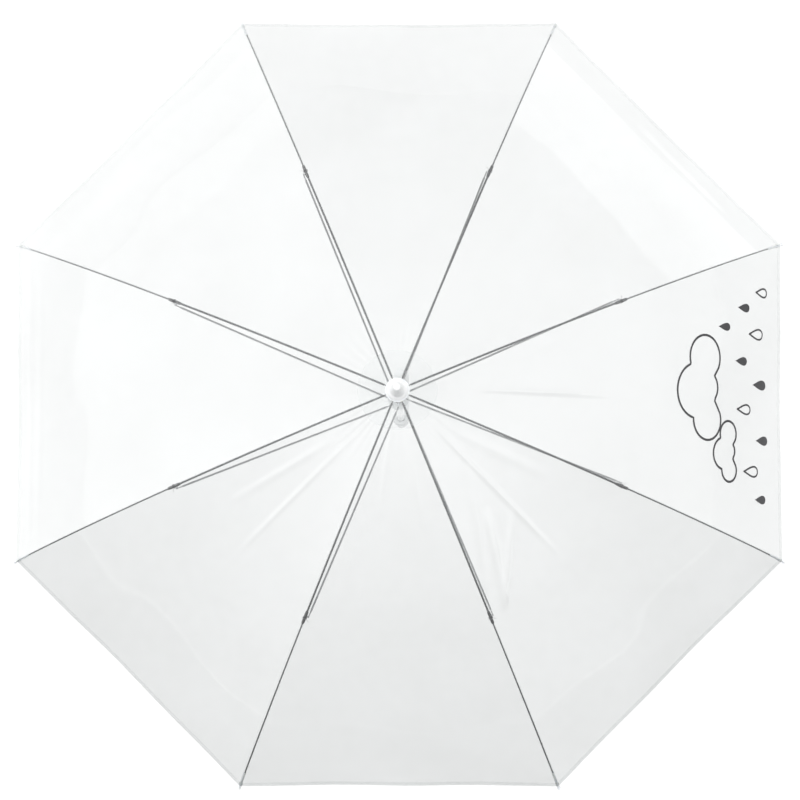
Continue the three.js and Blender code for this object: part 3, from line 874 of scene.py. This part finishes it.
# The last value says whether the drop is filled.
DROPS = [
    (-0.118, 0.525, 0.012, True),
    (-0.085, 0.505, 0.014, False),
    (-0.048, 0.528, 0.013, True),
    (-0.012, 0.492, 0.013, False),
    (0.018, 0.525, 0.014, True),
    (0.045, 0.488, 0.012, True),
    (0.078, 0.518, 0.014, False),
    (0.108, 0.492, 0.012, True),
    (0.128, 0.53, 0.012, False),
    (0.084, 0.455, 0.011, True),
]


def on_print_panel(across, along):
    turn = along / DOME_RADIUS
    return film_point(PRINT_PANEL, 0.5 + across / panel_width(turn), turn, PRINT_LIFT)


def line_band(outline, half_width):
    """A printed line: a flat band along a closed outline of (across, along) points."""
    count = len(outline)
    points, faces = [], []
    for index, here in enumerate(outline):
        before = outline[index - 1]
        after = outline[(index + 1) % count]
        direction = Vector((after[0] - before[0], after[1] - before[1])).normalized()
        normal = Vector((-direction.y, direction.x)) * half_width
        points.append(on_print_panel(here[0] + normal.x, here[1] + normal.y))
        points.append(on_print_panel(here[0] - normal.x, here[1] - normal.y))
    for index in range(count):
        a = 2 * index
        b = 2 * ((index + 1) % count)
        faces.append((a, a + 1, b + 1, b))
    return points, faces


def filled(outline):
    """A printed shape, as rings that shrink to its middle so that it follows the film."""
    middle = Vector((sum(x for x, _ in outline), sum(y for _, y in outline))) / len(outline)
    rings = 4
    count = len(outline)
    points, faces = [], []
    for ring in range(rings):
        share = 1 - ring / rings
        for x, y in outline:
            across = middle.x + (x - middle.x) * share
            along = middle.y + (y - middle.y) * share
            points.append(on_print_panel(across, along))
    points.append(on_print_panel(middle.x, middle.y))
    for ring in range(rings - 1):
        for k in range(count):
            after = (k + 1) % count
            here, there = ring * count, (ring + 1) * count
            faces.append((here + k, here + after, there + after, there + k))
    last = (rings - 1) * count
    for k in range(count):
        faces.append((last + k, last + (k + 1) % count, rings * count))
    return points, faces


def drop_outline(across, along, size):
    """A raindrop that points towards the crown."""
    outline = []
    steps = 28
    plumpness = 0.62
    for step in range(steps):
        angle = 2 * math.pi * step / steps
        pinch = math.sin(angle / 2) ** 1.6
        half_width = size * plumpness * math.sin(angle) * pinch
        outline.append((across + half_width, along - size * math.cos(angle)))
    return outline


def cloud_outline(across, along, size):
    """A cloud: three humps, each (across, along, radius), over a flat foot that lies on the rim's side."""
    humps = [(-0.62, 0.30, 0.38), (-0.08, 0.02, 0.52), (0.56, 0.26, 0.42)]
    foot = 0.68
    least = 0.3
    start = Vector((0, 0.3))
    outline = []
    steps = 120
    for step in range(steps):
        angle = 2 * math.pi * step / steps
        ray = Vector((math.sin(angle), -math.cos(angle)))
        reach = least
        for x, y, radius in humps:
            offset = Vector((x, y)) - start
            along_ray = offset.dot(ray)
            gap = radius**2 - (offset.length_squared - along_ray**2)
            if gap > 0:
                reach = max(reach, along_ray + math.sqrt(gap))
        if ray.y > 0:
            reach = min(reach, (foot - start.y) / ray.y)
        point = start + ray * reach
        outline.append((across + size * point.x, along + size * point.y))
    return outline


def add_print():
    marks = [line_band(cloud_outline(*cloud), PRINT_HALF_LINE) for cloud in CLOUDS]
    for across, along, size, is_full in DROPS:
        outline = drop_outline(across, along, size)
        marks.append(filled(outline) if is_full else line_band(outline, DROP_HALF_LINE))
    points, faces = [], []
    for mark_points, mark_faces in marks:
        first = len(points)
        points += mark_points
        faces += [tuple(first + k for k in face) for face in mark_faces]
    printed = piece_from("rain_print", points, faces, INK)
    between_ribs(printed, PRINT_PANEL)


# ---- the crown, ferrule, shaft, runner and handle ----


def add_fixed(piece, node, body="shaft"):
    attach(piece, body)
    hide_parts(node)


def notches(side, start, reach, low, high, width=0.002):
    """Blocks that cut a radial slot for each rib or stretcher."""
    size = (reach - start, width, high - low)
    centre = ((start + reach) / 2, side, (low + high) / 2)
    return [box_piece(size, centre, rib_azimuth(number)) for number in range(1, RIB_COUNT + 1)]


def wire_groove(outer, inner, middle):
    """The points of an outline that go round the groove for a wire ring, from below."""
    foot, top = middle - GROOVE_HALF_HEIGHT, middle + GROOVE_HALF_HEIGHT
    return [(outer, foot), (inner, foot), (inner, top), (outer, top)]


def spool(name, outline, material, *cutters):
    return cut(turned(name, outline, 0.0004, material, 72), *cutters)


def add_crown():
    low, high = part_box("crown")
    flange = 0.011
    outline = [
        (HUB_BORE, low.z),
        (flange, low.z),
        *wire_groove(flange, 0.0082, CROWN_Z),
        (flange, high.z),
        (HUB_BORE, high.z),
    ]
    slots = notches(0, 0.0071, 0.013, low.z - SLOT_OVERCUT, high.z + SLOT_OVERCUT)
    add_fixed(spool("crown_spool", outline, WHITE_PLASTIC, *slots), "crown")


def add_washer():
    low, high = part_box("cap_washer")
    taper = 0.0004
    outline = [(HUB_BORE, low.z), (high.x, low.z), (high.x - taper, high.z), (HUB_BORE, high.z)]
    washer = turned("film_washer", outline, 0.0004, MILKY_PLASTIC, 72)
    add_fixed(washer, "cap_washer")


def add_ferrule():
    """The cap over the film and the spike above it, with a socket for the shaft's end."""
    low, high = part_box("ferrule")
    foot, top = low.z, high.z
    socket_top = foot + 0.016
    outline = [
        (HUB_BORE, foot),
        (0.012, foot),
        (0.0117, foot + 0.0016),
        (0.0084, foot + 0.003),
        (0.0074, foot + 0.008),
        (0.0077, foot + 0.0095),
        (0.0071, foot + 0.011),
        (0.005, top - 0.009),
        (0.0044, top - 0.0012),
        (0.0036, top),
        (0, top),
        (0, socket_top),
        (HUB_BORE, socket_top),
    ]
    spike = turned("ferrule_spike", outline, 0.0006, WHITE_PLASTIC, 56)
    add_fixed(spike, "ferrule")


def add_shaft():
    """The enamelled tube, with a slot for each catch and a hole for the stop pin."""
    low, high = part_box("shaft_tube")
    wall = [(SHAFT_BORE, low.z), (SHAFT_RADIUS, low.z), (SHAFT_RADIUS, high.z), (SHAFT_BORE, high.z)]
    tube_piece = lathe("shaft_tube_enamel", wall, ENAMEL, 48)
    cutters = []
    for catch in ("upper_catch", "lower_catch"):
        slot_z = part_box(catch)[1].z - CATCH_SLOT_DROP
        cutters.append(box_piece(CATCH_SLOT, (SHAFT_RADIUS, 0, slot_z)))
    pin_z = sum(corner.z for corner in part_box("runner_stop_pin")) / 2
    cutters.append(box_piece(STOP_PIN_HOLE, (0, 0, pin_z)))
    add_fixed(cut(tube_piece, *cutters), "shaft_tube")


def add_runner():
    low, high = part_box("runner")
    foot = low.z
    lip, barrel, head = 0.0092, 0.008, 0.0125
    outline = [
        (SLIDING_BORE, foot),
        (lip, foot),
        (lip, foot + 0.003),
        (barrel, foot + 0.004),
        (barrel, RUNNER_Z - 0.007),
        (head, RUNNER_Z - 0.005),
        *wire_groove(head, 0.0097, RUNNER_Z),
        (head, high.z),
        (SLIDING_BORE, high.z),
    ]
    slots = notches(STRETCHER_SIDE, 0.0081, 0.0145, RUNNER_Z - 0.008, high.z + SLOT_OVERCUT)
    window = box_piece((0.006, 0.0026, 0.009), (barrel, 0, RUNNER_Z - 0.02))
    piece = spool("runner_spool", outline, WHITE_PLASTIC, *slots, window)
    add_fixed(piece, "runner", body="runner")


def wire_ring(name, radius, height):
    """The wire that the ribs or stretchers turn on, bent round in its groove."""
    ring_steps = 96
    frames = []
    for x, y in circle(radius, ring_steps):
        frames.append((Vector((x, y, height)), Vector((x, y, 0)).normalized(), Vector((0, 0, 1))))
    return sweep(name, frames, circle(WIRE_RADIUS, 8), BRIGHT_STEEL, closed=True)


def add_wires():
    crown_ring = wire_ring("crown_wire_ring", RIB_PIVOT_RADIUS, CROWN_Z)
    add_fixed(crown_ring, "crown_wire")
    runner_ring = wire_ring("runner_wire_ring", RUNNER_PIVOT_RADIUS, RUNNER_Z)
    add_fixed(runner_ring, "runner_wire", body="runner")


def grip_section():
    """The grip's round section, with the faint line of its mould on both sides."""
    steps = 40
    mould_line = 0.00018
    section = []
    for step in range(steps):
        angle = 2 * math.pi * step / steps
        radius = GRIP_RADIUS + (mould_line if step in (0, steps // 2) else 0)
        section.append((radius * math.cos(angle), radius * math.sin(angle)))
    return section


def add_crook(top):
    """The grip: down from its top, round the bend and up again to a domed end."""
    straight_steps, bend_steps, end_steps = 10, 48, 4
    bend_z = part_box("crook_handle")[0].z + CROOK_RADIUS + GRIP_RADIUS
    side = Vector((1, 0, 0))
    path = []
    for step in range(straight_steps):
        height = top + (bend_z - top) * step / straight_steps
        path.append((Vector((0, 0, height)), side, Vector((0, 1, 0))))
    centre = Vector((0, CROOK_RADIUS, bend_z))
    for step in range(bend_steps + 1):
        angle = math.pi * step / bend_steps
        outward = Vector((0, -math.cos(angle), -math.sin(angle)))
        path.append((centre + outward * CROOK_RADIUS, side, -outward))
    end = Vector((0, 2 * CROOK_RADIUS, bend_z))
    for step in range(1, end_steps + 1):
        rise = Vector((0, 0, CROOK_STRAIGHT * step / end_steps))
        path.append((end + rise, side, Vector((0, -1, 0))))
    crook = sweep("handle_crook", path, grip_section(), WHITE_PLASTIC)
    dome = []
    for step in range(10):
        angle = math.radians(9 * step)
        dome.append((GRIP_RADIUS * math.cos(angle), GRIP_RADIUS * math.sin(angle)))
    end_cap = lathe("cap", [*dome, (0, GRIP_RADIUS), (0, 0)], WHITE_PLASTIC, 40)
    end_cap.location = end + Vector((0, 0, CROOK_STRAIGHT))
    add_fixed(join("handle_crook", [crook, end_cap]), "crook_handle")


def add_collar(top):
    """Three rings round the grip's top, where the shaft goes in."""
    ring, between = 0.0107, 0.0102
    outline = [(SLIDING_BORE, top - 0.0125)]
    for foot in (top - 0.0125, top - 0.0075):
        outline += [(ring, foot), (ring, foot + 0.003), (between, foot + 0.0035), (between, foot + 0.0045)]
    outline += [(ring, top - 0.0025), (ring, top), (GRIP_RADIUS, top + 0.0015), (SLIDING_BORE, top + 0.0015)]
    collar = turned("handle_collar", outline, 0.0003, WHITE_PLASTIC, 56)
    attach(collar, "shaft")


def add_handle():
    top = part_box("crook_handle")[1].z - 0.0015
    add_crook(top)
    add_collar(top)


def finish_cad_nodes():
    """The carried-over CAD nodes keep their meshes and get their finish."""
    for name in ("upper_catch", "lower_catch", "runner_stop_pin"):
        node = frame["nodes"][name]
        node.data.materials.clear()
        node.data.materials.append(BRIGHT_STEEL)


# ---- the stage: floor, lights and camera ----

FLOOR_HEIGHT = -0.30
FLOOR_HALF_SIZE = 30
# Cards that only shiny surfaces show, upright beside the canopy and flat on the floor: their azimuths in
# degrees and radiances.
LOW_CARDS = [(45, 0.5), (135, 0.2)]
FLOOR_CARDS = [(45, 1.3), (135, 1.5), (180, 1.6), (225, 0.32), (270, 0.05), (315, 0.32)]
LOW_CARD_DISTANCE = 2.4
LOW_CARD_TOP = 0.88
FLOOR_CARD_START, FLOOR_CARD_END = 0.8, 29.0
FLOOR_CARD_LIFT = 0.005
CAMERA_LENS = 150
CAMERA_BACK = (0.0073, -0.0563, 1)  # the way from the umbrella to the camera
CAMERA_RIGHT, CAMERA_UP = 0.0012, 0.0031  # how far beside the rim's middle it aims
TIP_SHARE = 1.040  # how far out the tips lie, as a share of half the picture


def add_floor():
    around = ((-1, -1), (1, -1), (1, 1), (-1, 1))
    corners = [(FLOOR_HALF_SIZE * x, FLOOR_HALF_SIZE * y, FLOOR_HEIGHT) for x, y in around]
    dull, light = (0.73, 0.73, 0.73), (0.75, 0.75, 0.75)
    paper = solid_finish("floor_paper", dull, light, (0.7, 0.8), 30, bump=0.0001)
    floor = piece_from("floor", corners, [(0, 1, 2, 3)], paper, False)


def add_floor_card(azimuth, radiance):
    """A wedge of the floor before one panel: it sets how bright the floor looks in the film near the rim."""
    corners = []
    around = ((FLOOR_CARD_START, -1), (FLOOR_CARD_END, -1), (FLOOR_CARD_END, 1), (FLOOR_CARD_START, 1))
    for reach, side in around:
        angle = math.radians(azimuth) + side * PANEL_TURN / 2
        corners.append((reach * math.cos(angle), reach * math.sin(angle), FLOOR_HEIGHT + FLOOR_CARD_LIFT))
    shader = Shader(f"floor_card_{azimuth}")
    colour = shader.mottle(shader.noise(1), (0.96, 0.96, 0.96), (1, 1, 1))
    glow = shader.finish(shader.node("ShaderNodeEmission", {"Color": colour, "Strength": radiance}))
    glow.cycles.emission_sampling = "NONE"
    card = piece_from(f"floor_card_{azimuth}", corners, [(0, 1, 2, 3)], glow, False)
    card.visible_camera = False
    card.visible_diffuse = False
    card.visible_shadow = False


def add_low_card(azimuth, radiance):
    """An upright card that faces one panel, from the floor to above the canopy."""
    width = 2 * LOW_CARD_DISTANCE * math.tan(PANEL_TURN / 2)
    height = LOW_CARD_TOP - FLOOR_HEIGHT
    name = f"low_card_{azimuth}"
    data = bpy.data.lights.new(name, "AREA")
    data.shape = "RECTANGLE"
    data.size = width
    data.size_y = height
    data.energy = radiance * width * height * math.pi
    angle = math.radians(azimuth)
    outward = Vector((math.cos(angle), math.sin(angle), 0))
    card = bpy.data.objects.new(name, data)
    card.location = outward * LOW_CARD_DISTANCE + Vector((0, 0, (LOW_CARD_TOP + FLOOR_HEIGHT) / 2))
    card.rotation_mode = "QUATERNION"
    card.rotation_quaternion = outward.to_track_quat("Z", "Y")
    card.visible_camera = False
    card.visible_diffuse = False
    bpy.context.scene.collection.objects.link(card)


class Sky(Nodes):
    """The soft light all round: a level for each direction, where x, y and z are the direction's parts."""

    def __init__(self, world):
        super().__init__(world.node_tree)
        way = self.node("ShaderNodeTexCoord").outputs["Generated"]
        self.x, self.y, self.z = self.node("ShaderNodeSeparateXYZ", {0: way}).outputs


def add_world():
    """Brightest overhead and towards -X, fading down to the horizon and away to the -Y side."""
    world = bpy.data.worlds.new("studio")
    world.use_nodes = True
    sky = Sky(world)
    front = sky.ramp(sky.y, -1, -0.2, 0.7, 1.7)
    low = sky.ramp(sky.z, 0, 1, -0.65, 0)
    sides = sky.combine("ADD", sky.ramp(sky.x, -1, 0, 0.85, 0), sky.ramp(sky.x, 0, 1, 0, 0.3))
    sides = sky.combine("MULTIPLY", sides, sky.ramp(sky.y, -0.6, -0.1, 0, 1))
    level = sky.combine("ADD", sky.combine("ADD", front, low), sides)
    background = world.node_tree.nodes["Background"]
    background.inputs["Color"].default_value = (1, 1, 1, 1)
    world.node_tree.links.new(level, background.inputs["Strength"])
    bpy.context.scene.world = world


def add_lights():
    add_world()
    for azimuth, radiance in LOW_CARDS:
        add_low_card(azimuth, radiance)
    for azimuth, radiance in FLOOR_CARDS:
        add_floor_card(azimuth, radiance)


def add_camera():
    """Looks down on the dome, a little from the side that the crook points away from."""
    data = bpy.data.cameras.new("camera")
    data.lens = CAMERA_LENS
    rim_z = CROWN_Z + arc_point(RIM_TURN)[1]
    tip_radius = arc_point(RIM_TURN)[0] + TIP_REACH
    distance = tip_radius / TIP_SHARE / (data.sensor_width / 2 / data.lens)
    back = Vector(CAMERA_BACK).normalized()
    right = Vector((0, 1, 0)).cross(back).normalized()
    up = back.cross(right)
    aim = Vector((0, 0, rim_z)) + right * CAMERA_RIGHT + up * CAMERA_UP
    turn = Matrix((right, up, back)).transposed().to_4x4()
    camera = bpy.data.objects.new("camera", data)
    camera.matrix_world = Matrix.Translation(aim + back * distance) @ turn
    bpy.context.scene.collection.objects.link(camera)
    bpy.context.scene.camera = camera


def set_view():
    bpy.context.scene.view_settings.view_transform = "Standard"
    bpy.context.scene.view_settings.look = "None"


add_camera()
add_lights()
add_floor()
set_view()
add_ribs()
add_film()
add_print()
add_crown()
add_washer()
add_ferrule()
add_shaft()
add_runner()
add_wires()
add_handle()
finish_cad_nodes()
